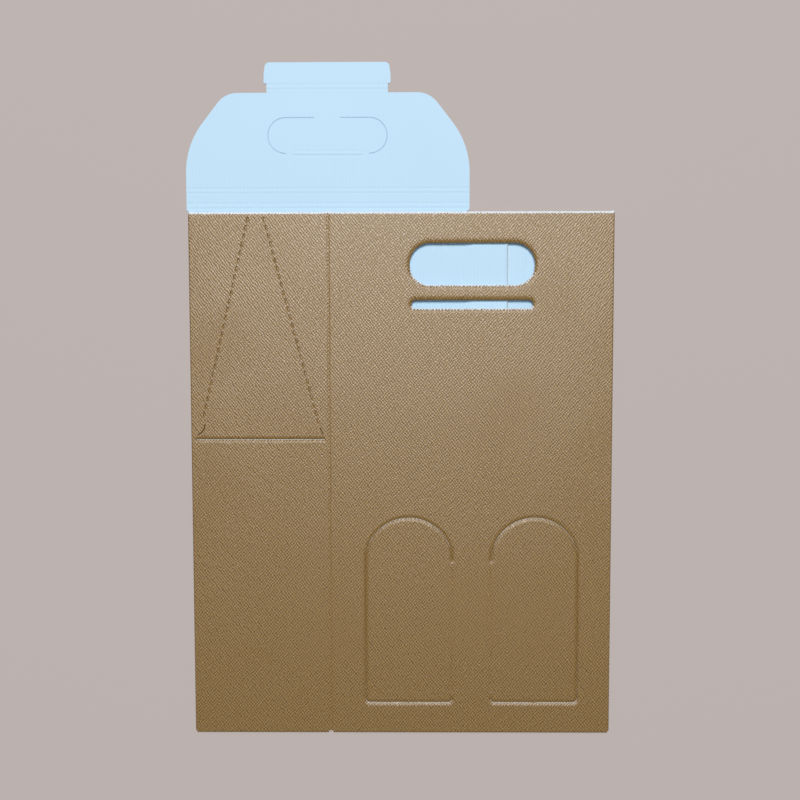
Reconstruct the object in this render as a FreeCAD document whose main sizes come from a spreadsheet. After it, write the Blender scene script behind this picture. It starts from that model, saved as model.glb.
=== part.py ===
import FreeCAD, Part
import math
import os
import re
import Sketcher

# A gift carton for two bottles, cut and creased from one sheet of micro-flute board, glued and
# folded flat, lying face up. X runs across the carton, Y runs up it to the lid, Z is up from the
# surface it lies on. The origin is the middle of the whole flat pack, on that surface.
# The upper layer is the left side and the front, the lower layer the back and the right side.

NEAR = 1e-3  # lengths this close count as the same

doc = FreeCAD.newDocument("two_bottle_carton")
sheet = doc.addObject("Spreadsheet::Sheet", "sizes")

# Driving dimensions in millimetres, and degrees for slopes.
SIZES = {
    "board": 1.5,
    "layer_gap": 0.3,
    "panel_width": 187.0,
    "side_depth": 92.5,
    "fold_take_up": 1.5,
    "body_height": 345.0,
    "hinge_gap": 0.3,
    "groove_width": 1.6,
    "groove_depth": 0.4,
    "glue_flap_width": 22.3,
    "glue_flap_step": 6.0,
    "glue_seam_gap": 0.5,
    "back_rise": 4.2,
    "spine_height": 9.7,
    "lid_width": 184.3,
    "lid_height": 66.4,
    "lid_corner_chamfer": 2.5,
    "lid_shoulder_inset": 34.0,
    "lid_corner_big": 52.0,
    "lid_corner_small": 16.5,
    "lid_corner_slope": 38.0,
    "tab_width": 82.3,
    "tab_height": 15.7,
    "tab_neck_width": 78.6,
    "tab_neck_height": 3.6,
    "tab_cheek": 3.0,
    "tab_corner": 4.0,
    "lid_flap_length": 76.2,
    "lid_flap_width": 21.7,
    "lid_flap_rise": 25.2,
    "lid_flap_nick": 17.0,
    "hand_hole_length": 81.3,
    "hand_hole_width": 28.6,
    "hand_hole_drop": 34.7,
    "slot_length": 78.8,
    "slot_width": 5.2,
    "slot_drop": 59.9,
    "rim_bevel": 0.6,
    "kerf": 0.5,
    "nick": 1.2,
    "door_width": 57.3,
    "door_straight": 95.5,
    "door_corner": 2.5,
    "door_rise": 20.9,
    "door_hinge_spacing": 25.6,
    "door_side_nick_rise": 10.5,
    "door_foot_nick_inset": 29.0,
    "gusset_height": 148.0,
    "gusset_cut_inset": 6.0,
    "gusset_turn_inset": 3.5,
    "gusset_turn_rise": 1.4,
    "gusset_left_top": 4.6,
    "gusset_left_slope": 13.2,
    "gusset_left_length": 138.0,
    "gusset_left_end": 7.5,
    "gusset_right_top": 3.8,
    "gusset_right_slope": 14.6,
    "gusset_right_length": 142.0,
    "gusset_right_end": 6.0,
    "slit_length": 2.6,
    "slit_pitch": 4.0,
    "slit_width": 0.5,
    "foot_flap_depth": 58.0,
    "foot_flap_short": 44.0,
    "foot_flap_lock": 12.0,
    "foot_flap_slope_run": 9.0,
    "foot_flap_inset": 1.5,
    "foot_tuck_depth": 46.0,
    "foot_tuck_slope_run": 26.0,
    "foot_glue_length": 34.0,
    "foot_glue_inset": 3.0,
}
for row, (name, size) in enumerate(SIZES.items(), 1):
    sheet.set("A%d" % row, name)
    sheet.set("B%d" % row, str(size))
    sheet.setAlias("B%d" % row, name)
doc.recompute()


def with_sheet(text):
    """The expression with each size's alias given its sheet."""
    return re.sub("[a-z_]+", lambda word: (word[0] in SIZES) * "sizes." + word[0], text)


def number(text):
    """What an expression in the sheet's names comes to."""
    return float(sheet.evalExpression(with_sheet(text)))


# Places that more than one feature uses, as expressions in the sheet's names.
HALF_WIDTH = "(panel_width + side_depth - fold_take_up) / 2"
LEFT_CREASE = "(0 - %s)" % HALF_WIDTH
LEFT_FOLD = "(%s + fold_take_up)" % LEFT_CREASE
RIGHT_FOLD = "(%s)" % HALF_WIDTH
FRONT_CREASE = "(%s + side_depth)" % LEFT_CREASE
BACK_SEAM = "(%s + panel_width)" % LEFT_CREASE
FRONT_MIDDLE = "(%s + panel_width / 2)" % FRONT_CREASE
BACK_MIDDLE = "(%s + panel_width / 2)" % LEFT_CREASE
LEFT_SIDE_MIDDLE = "(%s + side_depth / 2)" % LEFT_CREASE
RIGHT_SIDE_MIDDLE = "(%s + side_depth / 2)" % BACK_SEAM
LID_MIDDLE = "(%s + lid_width / 2)" % LEFT_CREASE
GLUE_FLAP_END = "(%s + glue_flap_width)" % BACK_SEAM

LENGTH = "(body_height + back_rise + spine_height + lid_height + tab_height)"
FOOT = "(0 - %s / 2)" % LENGTH
BODY_TOP = "(%s + body_height)" % FOOT
LID_CREASE = "(%s + back_rise)" % BODY_TOP
LID_TOP_CREASE = "(%s + spine_height)" % LID_CREASE
TAB_CREASE = "(%s + lid_height)" % LID_TOP_CREASE

STACK = "(4 * board + 3 * layer_gap)"
CUT_DEPTH = "(board + layer_gap / 2)"
FOLD_OUTER = "(board + layer_gap / 2)"
FOLD_INNER = "(layer_gap / 2)"
FOOT_FOLD_TOP = "(%s + %s)" % (FOOT, FOLD_OUTER)


def new_body(label):
    """An empty body whose label is its part's name."""
    body = doc.addObject("PartDesign::Body", label)
    body.Label = label
    return body


def sketch_on(body, plane, x="0", y="0", rise="0", turn=0.0):
    """A sketch on one of the body's own planes, moved in that plane and along its normal."""
    sketch = body.newObject("Sketcher::SketchObject", "outline")
    origin = next(f for f in body.Origin.OriginFeatures if f.Role == plane)
    sketch.AttachmentSupport = [(origin, "")]
    sketch.MapMode = "FlatFace"
    spin = FreeCAD.Rotation(FreeCAD.Vector(0, 0, 1), turn)
    sketch.AttachmentOffset = FreeCAD.Placement(FreeCAD.Vector(), spin)
    for axis, text in zip("xyz", (x, y, rise)):
        sketch.setExpression("AttachmentOffset.Base." + axis, with_sheet(text))
    return sketch


def arc_between(start, end, radius):
    """The shorter arc from start to end: to the left of the way for a radius over 0."""
    chord = end - start
    half = chord.Length / 2
    reach = math.sqrt(max(radius * radius - half * half, 0.0))
    left = FreeCAD.Vector(-chord.y, chord.x, 0).normalize()
    centre = (start + end) / 2 + left * math.copysign(reach, radius)
    outward = left * math.copysign(1.0, -radius)
    return Part.Arc(start, centre + outward * abs(radius), end)


def bind(sketch, constraint, text):
    """Add a size to the sketch and tie it to the sheet."""
    index = sketch.addConstraint(constraint)
    sketch.setExpression("Constraints[%d]" % index, with_sheet(text))


def pin_down(sketch, edge, end, x, y):
    """Hold one end of an edge at a place from the sketch's origin."""
    for kind, text, axis in (("DistanceX", x, -2), ("DistanceY", y, -1)):
        if text == "0":
            sketch.addConstraint(Sketcher.Constraint("PointOnObject", edge, end, axis))
        else:
            distance = Sketcher.Constraint(kind, -1, 1, edge, end, number(text))
            bind(sketch, distance, text)


def draw_outline(sketch, corners):
    """A closed outline. A corner is (x, y), or (x, y, radius) where an arc leads to the next."""
    points = [FreeCAD.Vector(number(c[0]), number(c[1]), 0) for c in corners]
    edges = []
    for i, corner in enumerate(corners):
        start, end = points[i], points[(i + 1) % len(points)]
        if len(corner) == 2:
            edges.append((sketch.addGeometry(Part.LineSegment(start, end), False), 1, 2))
            continue
        edge = sketch.addGeometry(arc_between(start, end, number(corner[2])), False)
        forward = (sketch.getPoint(edge, 1) - start).Length < (sketch.getPoint(edge, 2) - start).Length
        edges.append((edge, 1, 2) if forward else (edge, 2, 1))
    for i, (edge, _, last) in enumerate(edges):
        following, first, _ = edges[(i + 1) % len(edges)]
        sketch.addConstraint(Sketcher.Constraint("Coincident", edge, last, following, first))
    for i, ((edge, first, _), corner) in enumerate(zip(edges, corners)):
        pin_down(sketch, edge, first, corner[0], corner[1])
        if len(corner) == 2:
            continue
        chord = (points[(i + 1) % len(points)] - points[i]).Length
        if abs(chord - 2 * abs(number(corner[2]))) < NEAR:
            sketch.addConstraint(Sketcher.Constraint("Symmetric", edge, 1, edge, 2, edge, 3))
        else:
            size = Sketcher.Constraint("Radius", edge, abs(number(corner[2])))
            bind(sketch, size, "abs(%s)" % corner[2])


def rectangle(left, foot, right, top):
    """The corners of a rectangle between two opposite ones."""
    return [(left, foot), (right, foot), (right, top), (left, top)]


def stadium(length, width):
    """The outline of a slot with round ends, about its middle."""
    reach = "(%s - %s) / 2" % (length, width)
    half = "%s / 2" % width
    back, down = "0 - %s" % reach, "0 - %s" % half
    return [(back, down), (reach, down, half), (reach, half), (back, half, half)]


def pad(body, sketch, length, backwards=False):
    """Thicken a sketch along its normal."""
    feature = body.newObject("PartDesign::Pad", "pad")
    feature.Profile = sketch
    feature.Reversed = backwards
    feature.setExpression("Length", with_sheet(length))
    sketch.Visibility = False
    return feature


def pocket(body, sketch, depth, backwards=False):
    """Cut a sketch into the body, against its normal, and see that it cuts something."""
    doc.recompute()
    before = body.Shape.Volume
    feature = body.newObject("PartDesign::Pocket", "pocket")
    feature.Profile = sketch
    feature.Refine = False
    feature.Reversed = backwards
    feature.setExpression("Length", with_sheet(depth))
    sketch.Visibility = False
    doc.recompute()
    if body.Shape.Volume > before - NEAR:
        raise ValueError("A pocket in %s cuts nothing" % body.Label)
    return feature


def flat_pad(body, corners, rise="0", x="0", y="0", thick="board"):
    """A piece of board that lies flat, from its outline."""
    sketch = sketch_on(body, "XY_Plane", x, y, rise)
    draw_outline(sketch, corners)
    return pad(body, sketch, thick)


def cut_upper(body, corners, x, y, turn=0.0):
    """Cut through the upper layer, from above."""
    sketch = sketch_on(body, "XY_Plane", x, y, STACK, turn)
    draw_outline(sketch, corners)
    return pocket(body, sketch, CUT_DEPTH)


def cut_lower(body, corners, x, y, turn=0.0):
    """Cut through the lower layer, from below."""
    sketch = sketch_on(body, "XY_Plane", x, y, "0", turn)
    draw_outline(sketch, corners)
    return pocket(body, sketch, CUT_DEPTH, True)


def groove(body, x, foot, length):
    """A pressed crease along Y, a shallow V in the upper surface."""
    sketch = sketch_on(body, "XZ_Plane", x, STACK, "0 - %s" % foot)
    half = "groove_width / 2"
    draw_outline(sketch, [("0 - %s" % half, "0"), ("0", "0 - groove_depth"), (half, "0")])
    return pocket(body, sketch, length)


def sleeve(body):
    """The flattened tube: two folds, two layers, and the glue flap on the right side panel."""
    outer = "%s / 2" % STACK
    inner = "%s / 2 - board" % STACK
    left = "%s + %s / 2" % (LEFT_FOLD, STACK)
    right = "%s - %s / 2" % (RIGHT_FOLD, STACK)
    step = "%s - glue_flap_step" % BACK_SEAM
    seam = "%s + glue_seam_gap" % BACK_SEAM
    ceiling = "%s - board" % STACK
    section = sketch_on(body, "XZ_Plane", rise="0 - %s" % FOOT_FOLD_TOP)
    draw_outline(section, [
        (left, "0"), (step, "0"), (BACK_SEAM, "board"), (seam, "board"), (seam, "0"),
        (right, "0", outer), (right, STACK), (left, STACK, outer),
    ])
    draw_outline(section, [
        (left, "board"), (step, "board"), (BACK_SEAM, "2 * board"), (GLUE_FLAP_END, "2 * board"),
        (GLUE_FLAP_END, "board"), (right, "board", inner), (right, ceiling), (left, ceiling, inner),
    ])
    pad(body, section, "body_height - %s" % FOLD_OUTER, True)


def lid_root(body):
    """The strip of back panel that stands above the front's edge, up to the lid's first crease."""
    left, right = LEFT_CREASE, "%s + lid_width" % LEFT_CREASE
    top = "%s - hinge_gap / 2" % LID_CREASE
    corner = "%s + lid_corner_chamfer" % BODY_TOP
    flat_pad(body, [
        ("%s + lid_corner_chamfer" % left, BODY_TOP), ("%s - lid_corner_chamfer" % right, BODY_TOP),
        (right, corner), (right, top), (left, top), (left, corner),
    ])


def foot_fold(body, start, end, upper):
    """The half-round fold where a bottom flap turns up inside its panel."""
    section = sketch_on(body, "YZ_Plane", x=FOOT_FOLD_TOP, rise=start)
    heights = ("0", "2 * %s" % FOLD_OUTER, "2 * %s - board" % FOLD_OUTER, "board")
    height = ["%s - (%s)" % (STACK, text) if upper else text for text in heights]
    sign, back = ("", "0 - ") if upper else ("0 - ", "")
    draw_outline(section, [
        ("0", height[0], sign + FOLD_OUTER), ("0", height[1]),
        ("0", height[2], back + FOLD_INNER), ("0", height[3]),
    ])
    pad(body, section, "%s - (%s)" % (end, start))


def foot_flaps(body):
    """The four glued bottom flaps, folded up inside, two on each layer."""
    low, high = "board + layer_gap", "2 * board + 2 * layer_gap"
    inset = "foot_flap_inset"
    left = "%s + %s / 2" % (LEFT_FOLD, STACK)
    right = "%s - %s / 2" % (RIGHT_FOLD, STACK)
    back_end = "%s - glue_flap_step - %s" % (BACK_SEAM, inset)
    tuck_start = "%s + %s" % (GLUE_FLAP_END, inset)
    side_end = "%s - %s" % (FRONT_CREASE, inset)
    front_start = "%s + %s" % (FRONT_CREASE, inset)
    for start, end, upper in ((left, back_end, False), (tuck_start, right, False),
                              (left, side_end, True), (front_start, right, True)):
        foot_fold(body, start, end, upper)
    deep, short = "foot_flap_depth", "foot_flap_short"
    flat_pad(body, [
        (left, "0"), (back_end, "0"), ("%s - foot_flap_slope_run" % back_end, deep),
        ("%s + foot_flap_lock" % BACK_MIDDLE, deep), (BACK_MIDDLE, short), (left, short),
    ], low, y=FOOT_FOLD_TOP)
    flat_pad(body, [
        (front_start, "0"), (right, "0"), (right, short), (FRONT_MIDDLE, short),
        ("%s - foot_flap_lock" % FRONT_MIDDLE, deep),
        ("%s + foot_flap_slope_run" % front_start, deep),
    ], high, y=FOOT_FOLD_TOP)
    tuck, run = "foot_tuck_depth", "foot_tuck_slope_run"
    flat_pad(body, [
        (left, "0"), (side_end, "0"), ("%s - %s" % (side_end, run), tuck), (left, tuck),
    ], high, y=FOOT_FOLD_TOP)
    flat_pad(body, [
        (tuck_start, "0"), (right, "0"), (right, tuck), ("%s + foot_glue_inset" % tuck_start, tuck),
    ], low, y=FOOT_FOLD_TOP)
    glue_foot, glue_top = "foot_glue_inset", "foot_glue_inset + foot_glue_length"
    for edge, way in ((left, "+"), (right, "-")):
        corner = "%s %s foot_glue_inset" % (edge, way)
        tip = "%s %s foot_glue_length" % (corner, way)
        flat_pad(body, [(corner, glue_foot), (tip, glue_foot), (corner, glue_top)],
                 "2 * board + layer_gap", y=FOOT_FOLD_TOP, thick="layer_gap")


def hand_holes(body):
    """The hand hole through front and back, and the front's slot for the lid's tab."""
    for name in ("hand_hole", "slot"):
        length, width = name + "_length", name + "_width"
        place = "%s - %s_drop" % (BODY_TOP, name)
        cut_upper(body, stadium(length, width), FRONT_MIDDLE, place)
        ease_rim(body, number(FRONT_MIDDLE), number(place), number(length), number(width))
    hole = stadium("hand_hole_length", "hand_hole_width")
    cut_lower(body, hole, BACK_MIDDLE, "%s - hand_hole_drop" % BODY_TOP)


def ease_rim(body, x, y, length, width):
    """Bevel the upper rim of an opening in the front, where its board is pressed in."""
    top = number(STACK)
    opening = body.Tip
    rim = []
    for index, edge in enumerate(opening.Shape.Edges, 1):
        box = edge.BoundBox
        level = box.ZMin > top - NEAR and box.ZMax < top + NEAR
        across = box.XMin > x - length / 2 - NEAR and box.XMax < x + length / 2 + NEAR
        along = box.YMin > y - width / 2 - NEAR and box.YMax < y + width / 2 + NEAR
        if level and across and along:
            rim.append("Edge%d" % index)
    feature = body.newObject("PartDesign::Chamfer", "eased_rim")
    feature.Base = (opening, rim)
    feature.setExpression("Size", with_sheet("rim_bevel"))
    doc.recompute()


def door_cut(side):
    """The three runs of one door's cut, between its nicks, about the foot of the middle strip."""
    hinge = "door_hinge_spacing / 2"
    outside = "(%s + door_width)" % hinge
    middle = "(%s + door_width / 2)" % hinge
    half = "kerf / 2"
    nick = "nick / 2"
    foot_nick = "(%s + door_foot_nick_inset)" % hinge
    wide, narrow = "(door_width / 2 + %s)" % half, "(door_width / 2 - %s)" % half
    big, small = "(door_corner + %s)" % half, "(door_corner - %s)" % half
    over, under = "(door_side_nick_rise + %s)" % nick, "(door_side_nick_rise - %s)" % nick
    turn, unturn = ("", "0 - ") if side > 0 else ("0 - ", "")
    arch = [
        ("%s - %s" % (middle, wide), "door_straight", unturn + wide),
        ("%s + %s" % (middle, wide), "door_straight"),
        ("%s + %s" % (outside, half), over), ("%s - %s" % (outside, half), over),
        ("%s + %s" % (middle, narrow), "door_straight", turn + narrow),
        ("%s - %s" % (middle, narrow), "door_straight"),
    ]
    outer_corner = [
        ("%s + %s" % (outside, half), under),
        ("%s + %s" % (outside, half), "door_corner", unturn + big),
        ("%s - door_corner" % outside, "0 - %s" % half),
        ("%s + %s" % (foot_nick, nick), "0 - %s" % half), ("%s + %s" % (foot_nick, nick), half),
        ("%s - door_corner" % outside, half, turn + small),
        ("%s - %s" % (outside, half), "door_corner"), ("%s - %s" % (outside, half), under),
    ]
    inner_corner = [
        ("%s - %s" % (foot_nick, nick), "0 - %s" % half),
        ("%s + door_corner" % hinge, "0 - %s" % half, unturn + big),
        ("%s - %s" % (hinge, half), "door_corner"),
        ("%s + %s" % (hinge, half), "door_corner", turn + small),
        ("%s + door_corner" % hinge, half), ("%s - %s" % (foot_nick, nick), half),
    ]
    runs = [arch, outer_corner, inner_corner]
    if side > 0:
        return runs
    return [[("0 - (%s)" % c[0],) + tuple(c[1:]) for c in run] for run in runs]


def doors(body):
    """The two arched doors that fold in between the bottles, held shut by their nicks."""
    foot = "(%s + door_rise)" % FOOT
    for side in (1, -1):
        for run in door_cut(side):
            cut_upper(body, run, FRONT_MIDDLE, foot)
        way = "+" if side > 0 else "-"
        hinge = "%s %s door_hinge_spacing / 2" % (FRONT_MIDDLE, way)
        groove(body, hinge, "(%s + door_corner)" % foot, "door_straight - door_corner")


def slit_row(body, cut, middle, side):
    """One perforated crease of a side's gusset, a row of slits from the top edge down."""
    name = "gusset_right" if side > 0 else "gusset_left"
    slope = number(name + "_slope")
    turn = -90 + side * slope
    way = "+" if side > 0 else "-"
    half = "slit_width / 2"
    slit = cut(body, rectangle("slit_pitch - slit_length", "0 - %s" % half, "slit_pitch", half),
               "%s %s %s_top" % (middle, way, name), BODY_TOP, turn)
    pattern = body.newObject("PartDesign::LinearPattern", "slit_row")
    pattern.Originals = [slit]
    pattern.Refine = False
    pattern.Direction = (slit.Profile[0], ["H_Axis"])
    count = "floor(%s_length / slit_pitch)" % name
    pattern.setExpression("Length", with_sheet("(%s - 1) * slit_pitch" % count))
    pattern.setExpression("Occurrences", with_sheet(count))
    body.Tip = pattern
    doc.recompute()


def gusset_cut(body, cut, middle):
    """The cut across the foot of a side panel's gusset, turned up at both ends."""
    half, seam = "kerf / 2", "side_depth / 2"
    place = "%s - gusset_height" % BODY_TOP
    cut(body, rectangle("gusset_cut_inset - %s" % seam, "0 - %s" % half, seam, half), middle, place)
    cut(body, turned_end(-1, "gusset_left_end"), "%s - %s + gusset_turn_inset" % (middle, seam),
        "%s + gusset_turn_rise" % place)
    cut(body, turned_end(1, "gusset_right_end"), "%s + %s" % (middle, seam), place)


def turned_end(side, radius):
    """The quarter-round end of a gusset's crease, whose foot points at the panel's edge."""
    half = "kerf / 2"
    wide, narrow = "(%s + %s)" % (radius, half), "(%s - %s)" % (radius, half)
    if side > 0:
        way, turn, unturn = "0 - ", "", "0 - "
    else:
        way, turn, unturn = "", "0 - ", ""
    return [(way + wide, radius, turn + wide), ("0", "0 - %s" % half),
            ("0", half, unturn + narrow), (way + narrow, radius)]


def make_carton_body():
    """The sleeve, its bottom flaps and everything cut in it."""
    body = new_body("carton_body")
    sleeve(body)
    lid_root(body)
    foot_flaps(body)
    hand_holes(body)
    groove(body, FRONT_CREASE, FOOT, "body_height")
    doors(body)
    gussets = ((cut_upper, LEFT_SIDE_MIDDLE), (cut_lower, RIGHT_SIDE_MIDDLE))
    for cut, middle in gussets:
        gusset_cut(body, cut, middle)
    for cut, middle in gussets:
        for side in (-1, 1):
            slit_row(body, cut, middle, side)
    return body


def make_lid_spine():
    """The narrow strip between the lid's two creases."""
    body = new_body("lid_spine")
    flat_pad(body, rectangle(
        LEFT_CREASE, "%s + hinge_gap / 2" % LID_CREASE,
        "%s + lid_width" % LEFT_CREASE, "%s - hinge_gap / 2" % LID_TOP_CREASE))
    return body


def shoulder(side):
    """One upper corner of the lid: a big arc, a straight slope and a small arc, foot to top."""
    sine, cosine = "sin(lid_corner_slope * 1deg)", "cos(lid_corner_slope * 1deg)"
    big, small = "lid_corner_big", "lid_corner_small"
    run = ("((lid_shoulder_inset - %s * (1 - %s) - %s * %s) / %s)"
           % (big, cosine, small, cosine, sine))
    top = "(lid_height - tab_neck_height)"
    edge = "lid_width / 2"
    slope_top = "(%s - %s * (1 - %s))" % (top, small, sine)
    slope_foot = "(%s - %s * %s)" % (slope_top, run, cosine)
    slope_foot_x = "(%s - %s * (1 - %s))" % (edge, big, cosine)
    corners = [
        (edge, "%s - %s * %s" % (slope_foot, big, sine), big),
        (slope_foot_x, slope_foot),
        ("%s - %s * %s" % (slope_foot_x, run, sine), slope_top, small),
        ("%s - lid_shoulder_inset" % edge, top),
    ]
    if side > 0:
        return corners
    mirrored = [("0 - (%s)" % x, y) for x, y, *_ in reversed(corners)]
    mirrored[0] += (small,)
    mirrored[2] += (big,)
    return mirrored


def make_lid_panel():
    """The lid's main panel, with the hand flap that goes through the hand holes."""
    body = new_body("lid_panel")
    neck = "tab_neck_width / 2"
    shoulder_top = "lid_height - tab_neck_height"
    top, foot = "lid_height - hinge_gap / 2", "hinge_gap / 2"
    edge = "lid_width / 2"
    flat_pad(body, [("0 - %s" % edge, foot), (edge, foot)] + shoulder(1) + [
        (neck, shoulder_top), (neck, top), ("0 - %s" % neck, top), ("0 - %s" % neck, shoulder_top),
    ] + shoulder(-1), x=LID_MIDDLE, y=LID_TOP_CREASE)
    hand_flap(body)
    return body


def hand_flap(body):
    """The lid's hand flap: cut round its top and ends, left whole along its foot."""
    half, radius = "kerf / 2", "lid_flap_width / 2"
    reach = "((lid_flap_length - lid_flap_width) / 2)"
    wide, narrow = "(%s + %s)" % (radius, half), "(%s - %s)" % (radius, half)
    nick = "lid_flap_nick / 2"
    for side in (1, -1):
        turn, unturn = ("", "0 - ") if side > 0 else ("0 - ", "")
        run = [
            (nick, narrow), (reach, narrow, unturn + narrow), (reach, "0 - %s" % narrow),
            (reach, "0 - %s" % wide, turn + wide), (reach, wide), (nick, wide),
        ]
        if side < 0:
            run = [("0 - (%s)" % c[0],) + tuple(c[1:]) for c in run]
        sketch = sketch_on(body, "XY_Plane", LID_MIDDLE,
                           "%s + lid_flap_rise + %s" % (LID_TOP_CREASE, radius), "board")
        draw_outline(sketch, run)
        pocket(body, sketch, "2 * board")


def make_tuck_tab():
    """The tab at the lid's end that tucks into the front's slot."""
    body = new_body("tuck_tab")
    neck, cheek = "tab_neck_width / 2", "tab_width / 2"
    foot, corner = "hinge_gap / 2", "tab_corner"
    flat_pad(body, [
        ("0 - %s" % neck, foot), (neck, foot), (cheek, "tab_cheek"),
        (cheek, "tab_height - %s" % corner, corner), ("%s - %s" % (cheek, corner), "tab_height"),
        ("%s - %s" % (corner, cheek), "tab_height", corner),
        ("0 - %s" % cheek, "tab_height - %s" % corner), ("0 - %s" % cheek, "tab_cheek"),
    ], x=LID_MIDDLE, y=TAB_CREASE)
    return body


def check_document():
    """Stop if anything in the document failed."""
    for thing in doc.Objects:
        if "Invalid" in thing.State or "Error" in thing.State:
            raise ValueError("%s failed: %s" % (thing.Name, thing.State))


def write_part(body):
    """Check one sub-part's solid and write it."""
    shape = body.Shape
    if shape.isNull() or not shape.isValid() or len(shape.Solids) != 1:
        raise ValueError("%s isn't one good solid" % body.Label)
    shape.exportStep("parts/%s.step" % body.Label)
    print("%s: %.1f mm3" % (body.Label, shape.Volume))


pieces = [make_carton_body(), make_lid_spine(), make_lid_panel(), make_tuck_tab()]
doc.recompute()
check_document()
os.makedirs("parts", exist_ok=True)
for piece in pieces:
    write_part(piece)
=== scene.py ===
# %% [markdown]
# # A bottle gift carton, lying flat
# The carton comes from the die cutter as one sheet of card, gold outside and bluish white inside. It is
# glued into a sleeve, pressed flat, and lies on its back with its lid open.
# The imported CAD model is the frame: every piece below is placed in its coordinates, so nothing has to be
# fitted afterwards. Its box is kept.

# %% Load the frame
import math

import bmesh
import bpy
from mathutils import Matrix, Vector, noise
from mathutils.geometry import delaunay_2d_cdt
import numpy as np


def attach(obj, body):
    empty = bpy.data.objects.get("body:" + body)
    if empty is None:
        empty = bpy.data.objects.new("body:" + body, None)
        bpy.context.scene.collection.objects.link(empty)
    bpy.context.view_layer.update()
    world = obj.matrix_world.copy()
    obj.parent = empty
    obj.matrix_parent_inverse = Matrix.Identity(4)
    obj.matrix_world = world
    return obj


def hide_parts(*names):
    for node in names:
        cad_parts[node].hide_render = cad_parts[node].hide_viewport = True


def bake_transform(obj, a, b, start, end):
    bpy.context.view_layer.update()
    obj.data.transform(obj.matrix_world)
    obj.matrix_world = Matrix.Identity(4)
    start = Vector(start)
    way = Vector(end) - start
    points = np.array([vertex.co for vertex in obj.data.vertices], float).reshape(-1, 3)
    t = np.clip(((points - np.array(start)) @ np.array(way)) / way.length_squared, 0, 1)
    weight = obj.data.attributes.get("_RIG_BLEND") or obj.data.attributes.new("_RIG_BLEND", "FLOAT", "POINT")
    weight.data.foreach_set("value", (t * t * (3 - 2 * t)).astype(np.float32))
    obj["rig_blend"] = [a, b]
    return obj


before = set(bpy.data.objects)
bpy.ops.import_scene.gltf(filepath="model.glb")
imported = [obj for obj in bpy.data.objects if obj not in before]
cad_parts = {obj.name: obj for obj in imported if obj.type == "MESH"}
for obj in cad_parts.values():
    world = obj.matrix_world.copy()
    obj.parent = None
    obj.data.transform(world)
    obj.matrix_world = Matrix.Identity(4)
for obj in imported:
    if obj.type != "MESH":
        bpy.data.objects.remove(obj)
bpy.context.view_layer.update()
print("nodes:", ", ".join(sorted(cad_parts)))

# %% [markdown]
# The measures are in millimetres, as a die maker would write them, with the middle of the flat pack at
# zero. A flat sleeve has an upper and a lower layer of 1.5 mm board, with the bottom flaps in between.

# %% Main measures
MM = 0.001
BOARD = 1.5
STACK = 6.9
BODY_TOP, FOOT = 124.5, -220.5
LEFT, RIGHT = -137.5, 139.0
LID_LEFT, LID_RIGHT, LID_MIDDLE = -139.0, 45.3, -46.85
FRONT_CREASE, FRONT_MIDDLE, BACK_MIDDLE = -46.5, 47.0, -45.5
LID_CREASE, LID_TOP_CREASE, TAB_CREASE, TAB_END = 128.7, 138.4, 204.8, 220.5
FOLD_RUN = 1.3  # from a panel's flat part to the outside of a side fold
FOOT_ROLL = 1.65  # how tightly a bottom flap turns in
CREASE_HALF = 2.4  # half the width that bends at one of the lid's creases
print("flat pack: %.0f x %.0f x %.1f mm" % (RIGHT - LID_LEFT, TAB_END - FOOT, STACK))

# %% [markdown]
# ## Cuts with a pressed-in rim
# A cutting rule pushes the board down before it parts it, so each cut has a soft, sunken rim with the raw
# edge inside. A texture could fake that, but a real rim also catches the light and holds its place from
# the side. So each cut starts as one closed ring of edges, a circle whose halves are moved apart, and
# further rings are extruded round it, each a little higher, until the board is flat again. The ring is
# made straight and is bent along the cut's path at the end, which works for holes, slits and arches alike.

# %% Paths
def line(start, end, steps=1):
    """A straight run of a cut's path."""
    return ("line", Vector(start), Vector(end), steps)


def arc(centre, radius, start, end, steps):
    """A round run of a cut's path, from one angle to the other, in degrees."""
    return ("arc", Vector(centre), radius, math.radians(start), math.radians(end), steps)


def walk(path, step):
    """The point and the direction at a step of the path, which runs straight on past both its ends."""
    total = sum(piece[-1] for piece in path)
    inside = min(max(step, 0.0), total)
    spare = step - inside
    for piece in path:
        if inside <= piece[-1] or piece is path[-1]:
            break
        inside -= piece[-1]
    share = inside / piece[-1]
    if piece[0] == "line":
        point, way = piece[1].lerp(piece[2], share), (piece[2] - piece[1]).normalized()
    else:
        angle = piece[3] + (piece[4] - piece[3]) * share
        point = piece[1] + piece[2] * Vector((math.cos(angle), math.sin(angle)))
        turn = math.copysign(1.0, piece[4] - piece[3])
        way = turn * Vector((-math.sin(angle), math.cos(angle)))
    return point + way * spare, way


# %% One step outwards
def once(things):
    """Each thing once, in the order in which it came."""
    return list(dict.fromkeys(things))


def only(kind, made):
    """The vertices, edges or faces among what an operator made."""
    return [thing for thing in made if isinstance(thing, kind)]


def pull_out(bm, edges):
    """Extrude free edges. Give their new vertices, still in the old place, and the new free edges."""
    made = bmesh.ops.extrude_edge_only(bm, edges=edges)["geom"]
    verts = set(only(bmesh.types.BMVert, made))
    return verts, [e for e in only(bmesh.types.BMEdge, made) if verts.issuperset(e.verts)]


def widen(bm, edges, steps, distance, rise, torn_and_lit):
    """Extrude a cut's ring outwards on the straight, and give its new outer edges."""
    verts, outer = pull_out(bm, edges)
    for vert in verts:
        nearest = Vector((min(max(vert.co.x, 0.0), steps), 0.0, vert.co.z))
        vert.co += (vert.co - nearest).normalized() * distance
        vert.co.z += rise
        vert[bm.verts.layers.float["torn_and_lit"]] = torn_and_lit
    return outer


# %% One cut
# Bare board along a cut's rim is painted only on the side that faces the lid and the light beyond it. It is
# in part the raw board and in part a painted highlight.
TORN_LIT_EDGE = 1.25  # how torn the cut's own edge is, where 1 is all bare board
LIT_SIDE_START, LIT_SIDE_TURN = 0.15, 1.6  # the tear fades on the parts of a rim that don't face the lid


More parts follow.
